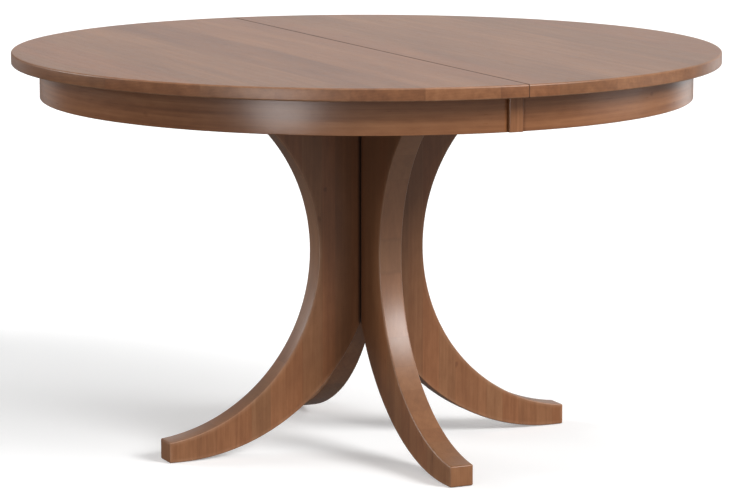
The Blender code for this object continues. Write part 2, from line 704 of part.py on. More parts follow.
def keeper_mesh():
    """The plate and post that the hook catches, on the +X side of the split, post at the origin."""
    plate_low = hung_from - LOCK_PLATE
    post_low = lock_lever_levels()[0] - TOUCH
    half = LOCK_PLATE_WIDTH / 2
    shape = bmesh.new()
    add_box(shape, (-KEEPER_MARGIN, -half, plate_low), (KEEPER_MARGIN, half, hung_from))
    ease(shape, corner_edges(shape, lambda at, edge: lies_along(edge, 2)), LOCK_PLATE, 2)
    post = bmesh.new()
    add_rod(post, (0, 0, post_low), (0, 0, plate_low + LOCK_PLATE / 2), KEEPER_POST_RADIUS)
    return carved(to_mesh(shape, "keeper"), post, "UNION")


def build_pedestal(wood, maple, steel, nylon):
    pedestal = make_body("pedestal")
    leg = leg_mesh()
    glide = glide_mesh()
    lag = lag_mesh()
    for side, angle in LEG_DIRECTIONS.items():
        place("leg_" + side, leg, wood, pedestal, angle=angle)
        foot = turned(angle) @ Vector((glide_reach, 0, 0))
        place("foot_glide_" + side, glide, nylon, pedestal, foot, angle)
        place("lag_screw_" + side, lag, steel, pedestal, turned(angle) @ Vector((lag_reach, 0, 0)), angle)
    place("pedestal_plate", plate_mesh(), maple, pedestal)
    rail = centre_rail_mesh()
    axle = axle_mesh()
    screw = rail_screw_mesh()
    pinion = pinion_mesh()
    for row, y in SLIDE_ROWS.items():
        place("centre_rail_" + row, rail, maple, pedestal, (0, y, 0))
        place("pinion_axle_" + row, axle, steel, pedestal, (0, y, 0))
        for side, x in (("left", -RAIL_SCREW_REACH), ("right", RAIL_SCREW_REACH)):
            place(f"rail_screw_{row}_{side}", screw, steel, pedestal, (x, y, 0))
        spin = make_body("pinion_body_" + row, pedestal, (0, y, gear_level))
        place("pinion_" + row, pinion, nylon, spin)
    return pedestal


def build_half(side, angle, meshes, body, wood, maple, steel):
    """Everything that draws out with one half of the top, made at +X and turned into place."""
    place("top_half_" + side, meshes["top"], wood, body, angle=angle)
    place("apron_" + side, meshes["apron"], wood, body, angle=angle)
    own_row = "front" if side == "left" else "back"
    place("apron_block_" + own_row, meshes["block"], wood, body, angle=angle + 180.0)
    for number, around in enumerate(GLUE_BLOCK_ANGLES, 1):
        place(f"glue_block_{side}_{number}", meshes["glue_block"], maple, body, angle=angle + around)
    for row, y in SLIDE_ROWS.items():
        place(f"slide_rail_{side}_{row}", meshes["rail"], maple, body, (0, y, 0), angle)
        place(f"rack_{side}_{row}", meshes["rack"], steel, body, (0, y, 0), angle)


def build_lock(row, angle, meshes, carrier, catcher, steel):
    """A lock at the given row: its lever hangs from the carrier half and hooks the other half."""
    base = turned(angle) @ Vector((-LOCK_PIVOT_INSET, -LOCK_OFFSET, 0))
    post = turned(angle) @ Vector((KEEPER_POST_INSET, -LOCK_OFFSET, 0))
    place("lock_plate_" + row, meshes["lock_plate"], steel, carrier, base, angle)
    place("lock_pivot_" + row, meshes["lock_pivot"], steel, carrier, base, angle)
    swing = make_body("lock_body_" + row, carrier, base)
    place("lock_lever_" + row, meshes["lock_lever"], steel, swing, angle=angle)
    place("lock_keeper_" + row, meshes["keeper"], steel, catcher, post, angle)


def main():
    clear_scene()
    wood = make_material("stained_wood", (0.25, 0.12, 0.06), 0.38)
    maple = make_material("plain_maple", (0.62, 0.45, 0.28), 0.55)
    steel = make_material("zinc_steel", (0.62, 0.62, 0.60), 0.35, 1.0)
    nylon = make_material("black_nylon", (0.05, 0.05, 0.05), 0.45)
    build_pedestal(wood, maple, steel, nylon)
    meshes = {
        "top": top_half_mesh(),
        "apron": apron_mesh(),
        "block": apron_block_mesh(),
        "glue_block": glue_block_mesh(),
        "rail": moving_rail_mesh(),
        "rack": rack_mesh(),
        "lock_plate": lock_plate_mesh(),
        "lock_pivot": lock_pivot_mesh(),
        "lock_lever": lock_lever_mesh(),
        "keeper": keeper_mesh(),
    }
    halves = {}
    for side, angle in HALF_TURNS.items():
        halves[side] = make_body(side + "_half")
        build_half(side, angle, meshes, halves[side], wood, maple, steel)
    pin = pin_mesh()
    level = underside + TOP_THICKNESS / 2
    for number, y in enumerate(pin_places(), 1):
        place(f"alignment_pin_{number}", pin, maple, halves["left"], (-SPLIT_GAP / 2, y, level))
    build_lock("front", 0.0, meshes, halves["left"], halves["right"], steel)
    build_lock("back", 180.0, meshes, halves["right"], halves["left"], steel)


main()
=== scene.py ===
import json
import math

import bpy
import numpy as np
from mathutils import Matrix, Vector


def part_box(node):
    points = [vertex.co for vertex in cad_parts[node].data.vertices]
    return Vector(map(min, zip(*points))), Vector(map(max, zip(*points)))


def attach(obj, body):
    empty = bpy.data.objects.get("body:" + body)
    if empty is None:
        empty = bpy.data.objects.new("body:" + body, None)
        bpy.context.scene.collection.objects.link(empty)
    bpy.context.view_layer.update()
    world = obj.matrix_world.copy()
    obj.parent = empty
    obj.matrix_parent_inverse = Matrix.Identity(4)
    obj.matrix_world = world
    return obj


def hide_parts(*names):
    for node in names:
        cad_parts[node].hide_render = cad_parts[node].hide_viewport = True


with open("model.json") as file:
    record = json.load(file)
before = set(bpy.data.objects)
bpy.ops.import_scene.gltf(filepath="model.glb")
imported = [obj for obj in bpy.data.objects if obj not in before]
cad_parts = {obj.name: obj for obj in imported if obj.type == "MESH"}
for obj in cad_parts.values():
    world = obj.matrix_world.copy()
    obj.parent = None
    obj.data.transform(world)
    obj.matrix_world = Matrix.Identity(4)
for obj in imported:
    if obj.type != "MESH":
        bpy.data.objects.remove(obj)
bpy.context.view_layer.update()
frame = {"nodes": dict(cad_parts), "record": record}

# lengths are in metres, and the table's front faces -Y

nodes = frame["nodes"]
quarter = math.pi / 2  # a quarter turn

# camera and light, as in a pale studio

camera = {
    # the turn is round the table from its front, in degrees, as is the tilt down
    "distance": 6.328,  # from the table's axis, along the floor
    "height": 1.4385,
    "turn": -24.6,
    "tilt": 9.443,
    "lens": 160.85,
}

studio = {
    "floorSize": 60.0,
    "floorColour": (0.80, 0.80, 0.80, 1.0),
    "floorRoughness": 0.9,
    "floorGlow": 0.30,  # keeps the shadow on the floor pale
    "sky": (1.0, 1.0, 1.0, 1.0),
    # turns are round the table from its front, rises are above the floor, both in degrees
    "skyFrom": (5.0, 32.0),  # where the sky is brightest
    "skyStrengths": (0.12, 0.60),  # opposite that place, and there
    "suns": [
        # turn, rise, spread, strength
        (10.0, 80.0, 60.0, 0.40),
        (33.0, 32.0, 24.0, 2.88),
        (-60.0, 20.0, 40.0, 0.26),
        (-132.0, 18.0, 24.0, 1.30),
    ],
    "panels": [
        # turn, rise, distance, width, height, power
        (-51.0, -3.0, 4.5, 1.3, 1.5, 74.0),
        (66.0, -2.0, 4.5, 2.2, 1.0, 9.0),
        (139.0, 12.8, 14.0, 16.0, 5.3, 180.0),
        (115.0, -2.0, 4.0, 1.4, 1.0, 6.0),
        (10.0, 78.0, 3.0, 3.0, 3.0, 45.0),
        (-163.0, -2.0, 4.0, 1.6, 0.8, 1.6),
    ],
    "target": (0.0, 0.0, 0.45),
}


def outward(turn, rise):
    # the direction from the table to a place at this turn and rise
    turn, rise = math.radians(turn), math.radians(rise)
    return np.array([math.sin(turn) * math.cos(rise), -math.cos(turn) * math.cos(rise), math.sin(rise)])


def aim(thing, away):
    # turns a lamp, which shines down its own -Z, so that its back points along the vector away
    flat = math.hypot(away[0], away[1])
    thing.rotation_euler = (math.atan2(flat, away[2]), 0.0, math.atan2(away[0], -away[1]))


def makeCamera():
    turn = math.radians(camera["turn"])
    data = bpy.data.cameras.new("studioCamera")
    data.lens = camera["lens"]
    made = bpy.data.objects.new("studioCamera", data)
    out = camera["distance"]
    made.location = (out * math.sin(turn), -out * math.cos(turn), camera["height"])
    made.rotation_euler = (quarter - math.radians(camera["tilt"]), 0.0, turn)
    bpy.context.scene.collection.objects.link(made)
    bpy.context.scene.camera = made


def addLamp(name, kind, away, place):
    data = bpy.data.lights.new(name, kind)
    lamp = bpy.data.objects.new(name, data)
    lamp.location = place
    lamp.visible_camera = False
    lamp.visible_diffuse = kind == "SUN"  # the panels only make reflections
    aim(lamp, away)
    bpy.context.scene.collection.objects.link(lamp)
    return data


def makeSky():
    # the strength rises in step with the cosine of the angle to the brightest place
    world = bpy.data.worlds.new("studioSky")
    world.use_nodes = True
    tree = world.node_tree
    sky = tree.nodes["Background"]
    sky.inputs["Color"].default_value = studio["sky"]
    direction = tree.nodes.new("ShaderNodeTexCoord")
    facing = tree.nodes.new("ShaderNodeVectorMath")
    facing.operation = "DOT_PRODUCT"
    facing.inputs[1].default_value = outward(*studio["skyFrom"])
    fade = tree.nodes.new("ShaderNodeMapRange")
    fade.inputs["From Min"].default_value = -1.0
    fade.inputs["To Min"].default_value, fade.inputs["To Max"].default_value = studio["skyStrengths"]
    tree.links.new(direction.outputs["Generated"], facing.inputs[0])
    tree.links.new(facing.outputs["Value"], fade.inputs["Value"])
    tree.links.new(fade.outputs["Result"], sky.inputs["Strength"])
    bpy.context.scene.world = world


def makeLamps():
    target = np.array(studio["target"])
    for number, (turn, rise, spread, strength) in enumerate(studio["suns"]):
        away = outward(turn, rise)
        sun = addLamp(f"softSun{number}", "SUN", away, target + away)
        sun.energy = strength
        sun.angle = math.radians(spread)
    for number, (turn, rise, distance, width, height, power) in enumerate(studio["panels"]):
        away = outward(turn, rise)
        panel = addLamp(f"softPanel{number}", "AREA", away, target + away * distance)
        panel.shape = "RECTANGLE"
        panel.size, panel.size_y = width, height
        panel.energy = power


def makeFloor():
    # a backdrop: it takes the shadow but throws no light back
    half = studio["floorSize"] / 2
    corners = [(-half, -half, 0), (half, -half, 0), (half, half, 0), (-half, half, 0)]
    mesh = bpy.data.meshes.new("studioFloor")
    mesh.from_pydata(corners, [], [(0, 1, 2, 3)])
    floor = bpy.data.objects.new("studioFloor", mesh)
    bpy.context.scene.collection.objects.link(floor)
    paint = bpy.data.materials.new("floorPaint")
    paint.use_nodes = True
    shader = paint.node_tree.nodes["Principled BSDF"]
    shader.inputs["Base Color"].default_value = studio["floorColour"]
    shader.inputs["Roughness"].default_value = studio["floorRoughness"]
    shader.inputs["Specular IOR Level"].default_value = 0.0
    shader.inputs["Emission Color"].default_value = studio["sky"]
    shader.inputs["Emission Strength"].default_value = studio["floorGlow"]
    mesh.materials.append(paint)
    floor.visible_diffuse = False
    floor.visible_glossy = False


bpy.context.scene.view_settings.view_transform = "Standard"
makeCamera()
makeSky()
makeLamps()
makeFloor()
print("studio ready")

# shader maths


class Wire:
    # an output socket of a material; sums and products of it add Math nodes

    def __init__(self, tree, socket=None):
        self.tree = tree
        self.socket = socket

    def node(self, kind, settings=None, inputs=None, output=0):
        # any node: its settings first, then values or wires for its sockets
        made = self.tree.nodes.new(kind)
        for name, value in (settings or {}).items():
            if name == "stops":
                setStops(made.color_ramp, value)
            else:
                setattr(made, name, value)
        for name, value in (inputs or {}).items():
            if isinstance(value, Wire):
                self.tree.links.new(value.socket, made.inputs[name])
            else:
                made.inputs[name].default_value = value
        return Wire(self.tree, made.outputs[output])

    def other(self, name):
        return Wire(self.tree, self.socket.node.outputs[name])

    def maths(self, operation, *values, clamp=False):
        sockets = dict(enumerate(values))
        return self.node("ShaderNodeMath", {"operation": operation, "use_clamp": clamp}, sockets)

    def __add__(self, value):
        return self.maths("ADD", self, value)

    def __radd__(self, value):
        return self.maths("ADD", value, self)

    def __sub__(self, value):
        return self.maths("SUBTRACT", self, value)

    def __rsub__(self, value):
        return self.maths("SUBTRACT", value, self)

    def __mul__(self, value):
        return self.maths("MULTIPLY", self, value)

    def __rmul__(self, value):
        return self.maths("MULTIPLY", value, self)

    def __truediv__(self, value):
        return self.maths("DIVIDE", self, value)

    def __pow__(self, value):
        return self.maths("POWER", self, value)

    def sine(self):
        return self.maths("SINE", self)

    def clamped(self):
        return self.maths("ADD", self, 0.0, clamp=True)

    def ramp(self, low, high):
        # 0 below low, 1 above high, with a soft rise between
        sockets = {"Value": self, "From Min": low, "From Max": high}
        return self.node("ShaderNodeMapRange", {"interpolation_type": "SMOOTHSTEP", "clamp": True}, sockets)

    def axes(self):
        split = self.node("ShaderNodeSeparateXYZ", None, {0: self})
        return split, split.other("Y"), split.other("Z")

    def vector(self, x, y, z):
        return self.node("ShaderNodeCombineXYZ", None, {0: x, 1: y, 2: z})

    def scaled(self, x, y, z):
        return self.node("ShaderNodeVectorMath", {"operation": "MULTIPLY"}, {0: self, 1: (x, y, z)})

    def moved(self, other):
        return self.node("ShaderNodeVectorMath", {"operation": "ADD"}, {0: self, 1: other})

    def noise(self, detail=3.0, rough=0.5, warp=0.0):
        sockets = {"Vector": self, "Scale": 1.0, "Detail": detail, "Roughness": rough, "Distortion": warp}
        return self.node("ShaderNodeTexNoise", None, sockets)

    def blend(self, share, under, over, kind="MIX"):
        # a colour over another, by a share from 0 to 1
        settings = {"data_type": "RGBA", "blend_type": kind}
        return self.node("ShaderNodeMix", settings, {0: share, 6: under, 7: over}, 2)

    def attribute(self, name, output):
        return self.node("ShaderNodeAttribute", {"attribute_name": name}, None, output)

    def place(self):
        return self.node("ShaderNodeTexCoord", None, None, "Object")


def setStops(ramp, stops):
    while len(ramp.elements) > 1:
        ramp.elements.remove(ramp.elements[-1])
    for number, (place, colour) in enumerate(stops):
        element = ramp.elements[0] if number == 0 else ramp.elements.new(place)
        element.position = place
        element.color = (*colour, 1.0)


def newMaterial(name):
    # an empty wire to build from, and the shader it ends in
    material = bpy.data.materials.new(name)
    material.use_nodes = True
    tree = material.node_tree
    return material, Wire(tree), tree.nodes["Principled BSDF"]


def finishMaterial(material, shader, colour, roughness, height, look):
    # colour and roughness straight to the shader, and the height through a bump of the look's depth
    tree = material.node_tree
    tree.links.new(colour.socket, shader.inputs["Base Color"])
    tree.links.new(roughness.socket, shader.inputs["Roughness"])
    sockets = {"Strength": look["bump"], "Distance": look["depth"], "Height": height}
    normal = height.node("ShaderNodeBump", None, sockets)
    tree.links.new(normal.socket, shader.inputs["Normal"])
    return material


# wood

stain = {
    "dark": (0.098, 0.034, 0.012),
    "middle": (0.206, 0.085, 0.033),
    "light": (0.338, 0.159, 0.070),
    # some boards lean to red and some to grey
    "red": (1.06, 0.93, 0.86, 1.0),
    "grey": (0.95, 1.0, 1.04, 1.0),
    "lean": 0.8,
    # what else colours the surface, and how strongly
    # painted shade in the gaps where two pieces meet, and its share
    "crevice": (0.020, 0.009, 0.006),
    "shut": 0.85,
    # worn edges, also lightened as a painted highlight, and their share
    "worn": (0.56, 0.33, 0.20, 1.0),
    "wear": 0.20,
    # painted sheen on the legs' curved outer faces, and its share
    "sanded": (0.32, 0.19, 0.125, 1.0),
    "sanding": 0.30,
    # share of the painted shade in the legs' corners and under the plate
    "pooling": 0.75,
    "gloss": 0.42,
    "roughness": 0.36,
    "bump": 0.10,
    "depth": 0.0004,
}

# maple without stain; it has no worn and highlit edges, no painted shade and no painted sheen
bareMaple = stain | {
    "dark": (0.300, 0.180, 0.085),
    "middle": (0.520, 0.360, 0.205),
    "light": (0.680, 0.520, 0.340),
    "red": (1.03, 0.97, 0.93, 1.0),
    "grey": (0.97, 1.0, 1.02, 1.0),
    "gloss": 0.40,
    "roughness": 0.55,
    "bump": 0.14,
}

# how wide the boards of a piece are, and how strongly each mark of the grain shows on it
topBoards = {
    "board": 0.118,
    "boardTone": 0.17,
    # painted light: a lift of the whole tone in place of light a piece gets, most on the apron
    "lift": 0.0,
    "blotch": 0.46,
    "streak": 0.52,
    "ring": 0.04,
    "fibre": 0.20,
    "polish": 0.0,
}
apronBoards = topBoards | {
    "board": 0.30,
    "boardTone": 0.10,
    "lift": 0.12,
    "blotch": 0.45,
    "streak": 0.85,
    "polish": 0.06,
}
legBoards = topBoards | {
    "board": 0.036,
    "boardTone": 0.16,
    "lift": 0.04,
    "blotch": 0.40,
    "streak": 0.40,
    "polish": 0.02,
}
mapleBoards = topBoards | {
    "board": 0.090,
    "boardTone": 0.30,
    "blotch": 0.35,
    "streak": 0.40,
    "ring": 0.06,
}

# the grain itself, the same for every wood
grainPattern = {
    # cells of each noise in a metre, across, along and through the board
    "sway": (3.0, 1.1, 3.0),
    "blotch": (15.0, 2.4, 15.0),
    "mottle": (80.0, 30.0, 80.0),
    "streak": (85.0, 1.9, 85.0),
    "fibre": (900.0, 18.0, 900.0),
    "pore": (2100.0, 75.0, 2100.0),
    "mark": (40.0, 26.0, 40.0),
    "patch": (60.0, 30.0, 60.0),
    # how far up each noise its marks start, and where they are full
    "poreRamp": (0.63, 0.72),
    "markRamp": (0.74, 0.82),
    "patchRamp": (0.35, 0.75),
    "patchLeast": 0.45,
    "boardSpread": 0.55,  # how unlike each other the boards' widths are
    "logShift": (3.1, 7.7, 5.3),  # sets the noises of two boards apart
    "seam": 0.0006,
    "seamTone": 0.25,
    # growth rings, and where their heart lies from the board: aside, and down by least and by chance
    "ringSpacing": 0.0052,
    "heartAside": 0.10,
    "heartDown": (0.03, 0.09),
    "heartSway": 0.045,
    "ringFlatness": 0.6,
    "mottleTone": 0.20,
    "markTone": 0.22,
    "poreTone": 0.12,
    "toneStops": (0.12, 0.5, 0.92),  # of the dark, middle and light colours
    "roughens": {"fibre": 0.10, "mottle": 0.06, "pore": 0.08, "crevice": 0.3},
    "raises": {"fibre": 0.5, "pore": -0.8, "seam": -0.6, "streak": 0.3},
}


def woodMaterial(name, look, cut, fromPlace=False):
    # Wood as a solid: boards side by side, each cut from its own log. The grain coordinates are
    # (across, along, through) in metres. Growth rings are circles round a log's heart, bent by
    # slow noise. Tone = half + board's own tone + blotches + streaks + fibres - rings - marks - pores,
    # each a noise drawn out along the grain, and a ramp turns the tone into colour.
    pattern = grainPattern
    material, wire, shader = newMaterial(name)
    if fromPlace:
        x, y, z = wire.place().axes()
        grain = wire.vector(y, x, z)
    else:
        grain = wire.attribute("grain", "Vector")
    across, _, through = grain.axes()
    boards = {"W": across / cut["board"], "Scale": 1.0, "Randomness": pattern["boardSpread"]}
    cell = wire.node("ShaderNodeTexVoronoi", {"voronoi_dimensions": "1D"}, boards, "Color")
    toEdge = {"voronoi_dimensions": "1D", "feature": "DISTANCE_TO_EDGE"}
    gap = wire.node("ShaderNodeTexVoronoi", toEdge, boards)
    chanceA, chanceB, chanceC = cell.axes()
    ownLog = grain.moved(cell.scaled(*pattern["logShift"]))
    sway = ownLog.scaled(*pattern["sway"]).noise(2.0)
    aside, (down, further) = pattern["heartAside"], pattern["heartDown"]
    heartX = across * pattern["ringFlatness"] + (chanceA - 0.5) * aside + (sway - 0.5) * pattern["heartSway"]
    heartZ = through + down + chanceB * further
    radius = (heartX * heartX + heartZ * heartZ) ** 0.5
    rings = (radius * (2 * math.pi / pattern["ringSpacing"])).sine() * 0.5 + 0.5
    blotch = ownLog.scaled(*pattern["blotch"]).noise(3.0, 0.55, 0.4)
    mottle = ownLog.scaled(*pattern["mottle"]).noise(2.0)
    streak = ownLog.scaled(*pattern["streak"]).noise(4.0, 0.62, 0.2)
    fibre = ownLog.scaled(*pattern["fibre"]).noise(2.0, 0.6)
    pore = ownLog.scaled(*pattern["pore"]).noise(1.0).ramp(*pattern["poreRamp"])
    mark = ownLog.scaled(*pattern["mark"]).noise(1.0, 0.4).ramp(*pattern["markRamp"])
    tone = (
        0.5
        # painted light: the piece's tone lift
        + cut["lift"]
        + (chanceC - 0.5) * cut["boardTone"]
        + (blotch - 0.5) * cut["blotch"]
        + (mottle - 0.5) * pattern["mottleTone"]
        + (streak - 0.5) * cut["streak"]
        + (fibre - 0.5) * cut["fibre"]
        - rings * cut["ring"]
        - mark * pattern["markTone"]
        - pore * pattern["poreTone"]
    )
    dark = (*look["dark"], 1.0)
    stops = list(zip(pattern["toneStops"], (look["dark"], look["middle"], look["light"])))
    colour = wire.node("ShaderNodeValToRGB", {"stops": stops}, {"Fac": tone.clamped()})
    colour = wire.blend(look["lean"], colour, wire.blend(chanceB, look["red"], look["grey"]), "MULTIPLY")
    seam = 1.0 - gap.ramp(0.0, pattern["seam"] / cut["board"])
    colour = wire.blend(seam * pattern["seamTone"], colour, dark)
    patchy = ownLog.scaled(*pattern["patch"]).noise(2.0, 0.6).ramp(*pattern["patchRamp"])
    least = pattern["patchLeast"]  # rounded edges are lightened in patches, as wear and as a painted highlight
    worn = wire.attribute("arris", "Fac") * (least + patchy * (1.0 - least))
    colour = wire.blend(worn * look["wear"], colour, look["worn"])
    pooled = wire.attribute("pooled", "Fac")  # painted shade: darker in the corner between two legs and under the plate
    colour = wire.blend(pooled * look["pooling"], colour, dark)
    sanded = wire.attribute("sanded", "Fac")  # painted sheen: the legs' curved outer faces made lighter in place of a reflection
    colour = wire.blend(sanded * look["sanding"], colour, look["sanded"])
    shut = wire.attribute("crevice", "Fac")  # painted shade: faces in the gap where two pieces meet, darkened nearly to black
    colour = wire.blend(shut * look["shut"], colour, (*look["crevice"], 1.0))
    rough, raised = pattern["roughens"], pattern["raises"]
    roughness = look["roughness"] - cut["polish"] + (fibre - 0.5) * rough["fibre"]
    roughness = roughness + (mottle - 0.5) * rough["mottle"] + pore * rough["pore"] + shut * rough["crevice"]
    height = fibre * raised["fibre"] + pore * raised["pore"]
    height = height + seam * raised["seam"] + streak * raised["streak"]
    shader.inputs["Specular IOR Level"].default_value = look["gloss"]
    return finishMaterial(material, shader, colour, roughness, height, look)


topWood = woodMaterial("topWood", stain, topBoards)
apronWood = woodMaterial("apronWood", stain, apronBoards)
legWood = woodMaterial("legWood", stain, legBoards)
blockMaple = woodMaterial("blockMaple", bareMaple, mapleBoards)
railMaple = woodMaterial("railMaple", bareMaple, mapleBoards, fromPlace=True)
print("wood ready")

# metal and nylon

zincPlate = {
    "pale": (0.66, 0.66, 0.64, 1.0),
    "blue": (0.52, 0.55, 0.60, 1.0),
    "straw": (0.66, 0.60, 0.44, 1.0),
    "dull": (0.33, 0.33, 0.32, 1.0),
    # how strongly the film turns straw, and the spots dull and roughen it
    "strawShare": 0.6,
    "dullShare": 0.45,
    "spotRoughness": 0.22,
    "scratchRoughness": 0.16,
    "spotDepth": 0.6,
    # cells of each noise in a metre
    "drift": (60.0, 60.0, 60.0),
    "spots": (420.0, 420.0, 420.0),
    "scratches": (90.0, 2600.0, 2600.0),
    "roughness": 0.30,
    "bump": 0.12,
    "depth": 0.0001,
}


def zincMaterial(name, look):
    # Bright zinc: the passivated film drifts from blue to straw with slow noise, dull spots lie on it,
    # and fine rolling scratches, long in X, roughen it.
    material, wire, shader = newMaterial(name)
    place = wire.place()
    drift = place.scaled(*look["drift"]).noise(2.0, 0.5, 0.6)
    spots = place.scaled(*look["spots"]).noise(3.0, 0.6).ramp(0.56, 0.72)
    scratches = place.scaled(*look["scratches"]).noise(2.0, 0.6)
    film = wire.blend(drift.ramp(0.30, 0.48), look["blue"], look["pale"])
    film = wire.blend(drift.ramp(0.54, 0.70) * look["strawShare"], film, look["straw"])
    colour = wire.blend(spots * look["dullShare"], film, look["dull"])
    roughness = look["roughness"] + spots * look["spotRoughness"]
    roughness = roughness + (scratches - 0.5) * look["scratchRoughness"]
    shader.inputs["Metallic"].default_value = 1.0
    return finishMaterial(material, shader, colour, roughness, scratches - spots * look["spotDepth"], look)


darkNylon = {
    "colour": (0.030, 0.030, 0.032, 1.0),
    "chalk": (0.085, 0.085, 0.085, 1.0),
    "rubShare": 0.5,
    "sparkShare": 0.2,
    "rubRoughness": 0.12,
    "sparkRoughness": 0.2,
    # cells of each noise in a metre
    "spark": (2400.0, 2400.0, 2400.0),
    "rub": (160.0, 160.0, 160.0),
    "roughness": 0.44,
    "bump": 0.16,
    "depth": 0.0001,
}


def nylonMaterial(name, look):
    # Moulded nylon: a fine spark-eroded texture, and chalky rub marks from slow noise.
    material, wire, shader = newMaterial(name)
    place = wire.place()
    spark = place.scaled(*look["spark"]).noise(2.0, 0.6)
    rub = place.scaled(*look["rub"]).noise(3.0, 0.6, 0.3).ramp(0.45, 0.75)
    chalky = rub * look["rubShare"] + (spark - 0.5) * look["sparkShare"]
    colour = wire.blend(chalky, look["colour"], look["chalk"])
    roughness = look["roughness"] + (spark - 0.5) * look["sparkRoughness"] + rub * look["rubRoughness"]
    return finishMaterial(material, shader, colour, roughness, spark, look)


steel = zincMaterial("zincSteel", zincPlate)
nylon = nylonMaterial("mouldedNylon", darkNylon)

# every CAD node gets the finish of its slot, for where it stays visible
finishes = {"plain_maple": railMaple, "zinc_steel": steel, "black_nylon": nylon, "stained_wood": legWood}
for row in frame["record"]["subparts"]:
    nodes[row["node"]].material_slots[0].material = finishes[row["material_slot"]]
print("metal and nylon ready")

# surfaces


def addPiece(name, points, faces, material, body, replaced=(), smooth=None, attributes=None):
    # one mesh object from an array of points and lists of faces, riding on a CAD body
    mesh = bpy.data.meshes.new(name)
    mesh.from_pydata(points.tolist(), [], faces)
    for key, values in (attributes or {}).items():
        kind = "FLOAT_VECTOR" if values.ndim == 2 else "FLOAT"
        field = "vector" if values.ndim == 2 else "value"
        made = mesh.attributes.new(key, kind, "POINT")
        made.data.foreach_set(field, values.astype(np.float32).ravel())
    if smooth is not None:
        mesh.polygons.foreach_set("use_smooth", smooth)
    mesh.materials.append(material)
    mesh.update()
    piece = bpy.data.objects.new(name, mesh)
    bpy.context.scene.collection.objects.link(piece)
    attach(piece, body)
    if replaced:
        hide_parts(*replaced)
    return piece


def loftFaces(rings, count):
    # quads between rings of points, each ring a closed loop, and then flat caps on the two ends
    here = np.arange(count)
    after = (here + 1) % count
    steps = np.arange(rings - 1)[:, None] * count
    quads = np.stack([steps + here, steps + after, steps + count + after, steps + count + here], axis=-1)
    return quads.reshape(-1, 4), np.stack([here[::-1], here + (rings - 1) * count])


def insideOut(points, groups):
    # True if the faces enclose a negative volume. With each face as a fan of triangles (a, b, c), six
    # times the volume is the sum of a . (b x c).
    volume = 0.0
    for faces in groups:
        volume += (points[faces[:, :1]] * np.cross(points[faces[:, 1:-1]], points[faces[:, 2:]])).sum()
    return volume < 0


def addLoft(name, rings, material, body, replaced=(), attributes=None):
    # a solid whose skin passes through a stack of closed rings, an array of (ring, point, xyz)
    stack, count, _ = rings.shape
    points = rings.reshape(-1, 3)
    groups = loftFaces(stack, count)
    if insideOut(points, groups):
        groups = [faces[:, ::-1] for faces in groups]
    quads, caps = (faces.tolist() for faces in groups)
    smooth = [True] * len(quads) + [False] * len(caps)
    fields = (attributes or {}).items()
    flat = {key: values.reshape(stack * count, *values.shape[2:]) for key, values in fields}
    return addPiece(name, points, quads + caps, material, body, replaced, smooth, flat)


def roundedLoop(corners, radius, steps):
    # Every corner of a closed outline is cut by an arc that touches both of its sides. With the arc's
    # sweep w and a share s of it, a point is centre + (sin((1 - s) w) start + sin(s w) end) / sin w.
    corners = np.array(corners, float)
    radius = np.broadcast_to(radius, len(corners))[:, None]
    before = np.roll(corners, 1, 0) - corners
    after = np.roll(corners, -1, 0) - corners
    before /= np.linalg.norm(before, axis=1, keepdims=True)
    after /= np.linalg.norm(after, axis=1, keepdims=True)
    half = np.arccos(np.clip((before * after).sum(1, keepdims=True), -1, 1)) / 2
    middle = before + after
    middle /= np.linalg.norm(middle, axis=1, keepdims=True)
    centre = corners + middle * radius / np.sin(half)
    start = corners + before * radius / np.tan(half) - centre
    end = corners + after * radius / np.tan(half) - centre
    share = np.linspace(0.0, 1.0, steps + 1)[None, :, None]
    sweep = math.pi - 2 * half[:, None]
    bent = np.sin((1 - share) * sweep) * start[:, None] + np.sin(share * sweep) * end[:, None]
    return (centre[:, None] + bent / np.sin(sweep)).reshape(-1, 2)


capInset = 1.5  # how far in a slab's flat end has its own ring, in roundings


def slabRings(outline, low, high, rounding, steps=4):
    # An outline carried from low to high. Near each end it draws in along a quarter circle: a point
    # is outline - normal * rounding * (1 - sin t), at rounding * (1 - cos t) from the end. Every ring
    # comes back as (u, v, level).
    along = np.roll(outline, -1, 0) - np.roll(outline, 1, 0)
    normal = np.stack([along[:, 1], -along[:, 0]], 1) / np.linalg.norm(along, axis=1, keepdims=True)
    after = np.roll(outline, -1, 0)
    area = (outline[:, 0] * after[:, 1] - outline[:, 1] * after[:, 0]).sum()
    turn = np.linspace(0.0, quarter, steps + 1)
    inset = np.append(capInset, 1.0 - np.sin(turn)) * rounding
    depth = np.append(0.0, 1.0 - np.cos(turn)) * rounding
    inset = np.concatenate([inset, inset[::-1]])[:, None, None]
    level = np.concatenate([low + depth, high - depth[::-1]])
    flat = outline[None] - normal[None] * inset * np.sign(area)
    level = np.broadcast_to(level[:, None, None], (*flat.shape[:2], 1))
    return np.concatenate([flat, level], 2)


def turnedRound(points, angle):
    # points turned about the table's axis: (x cos a - y sin a, x sin a + y cos a, z)
    cos, sin = math.cos(angle), math.sin(angle)
    x, y, z = points[..., 0], points[..., 1], points[..., 2]
    return np.stack([x * cos - y * sin, x * sin + y * cos, z], -1)


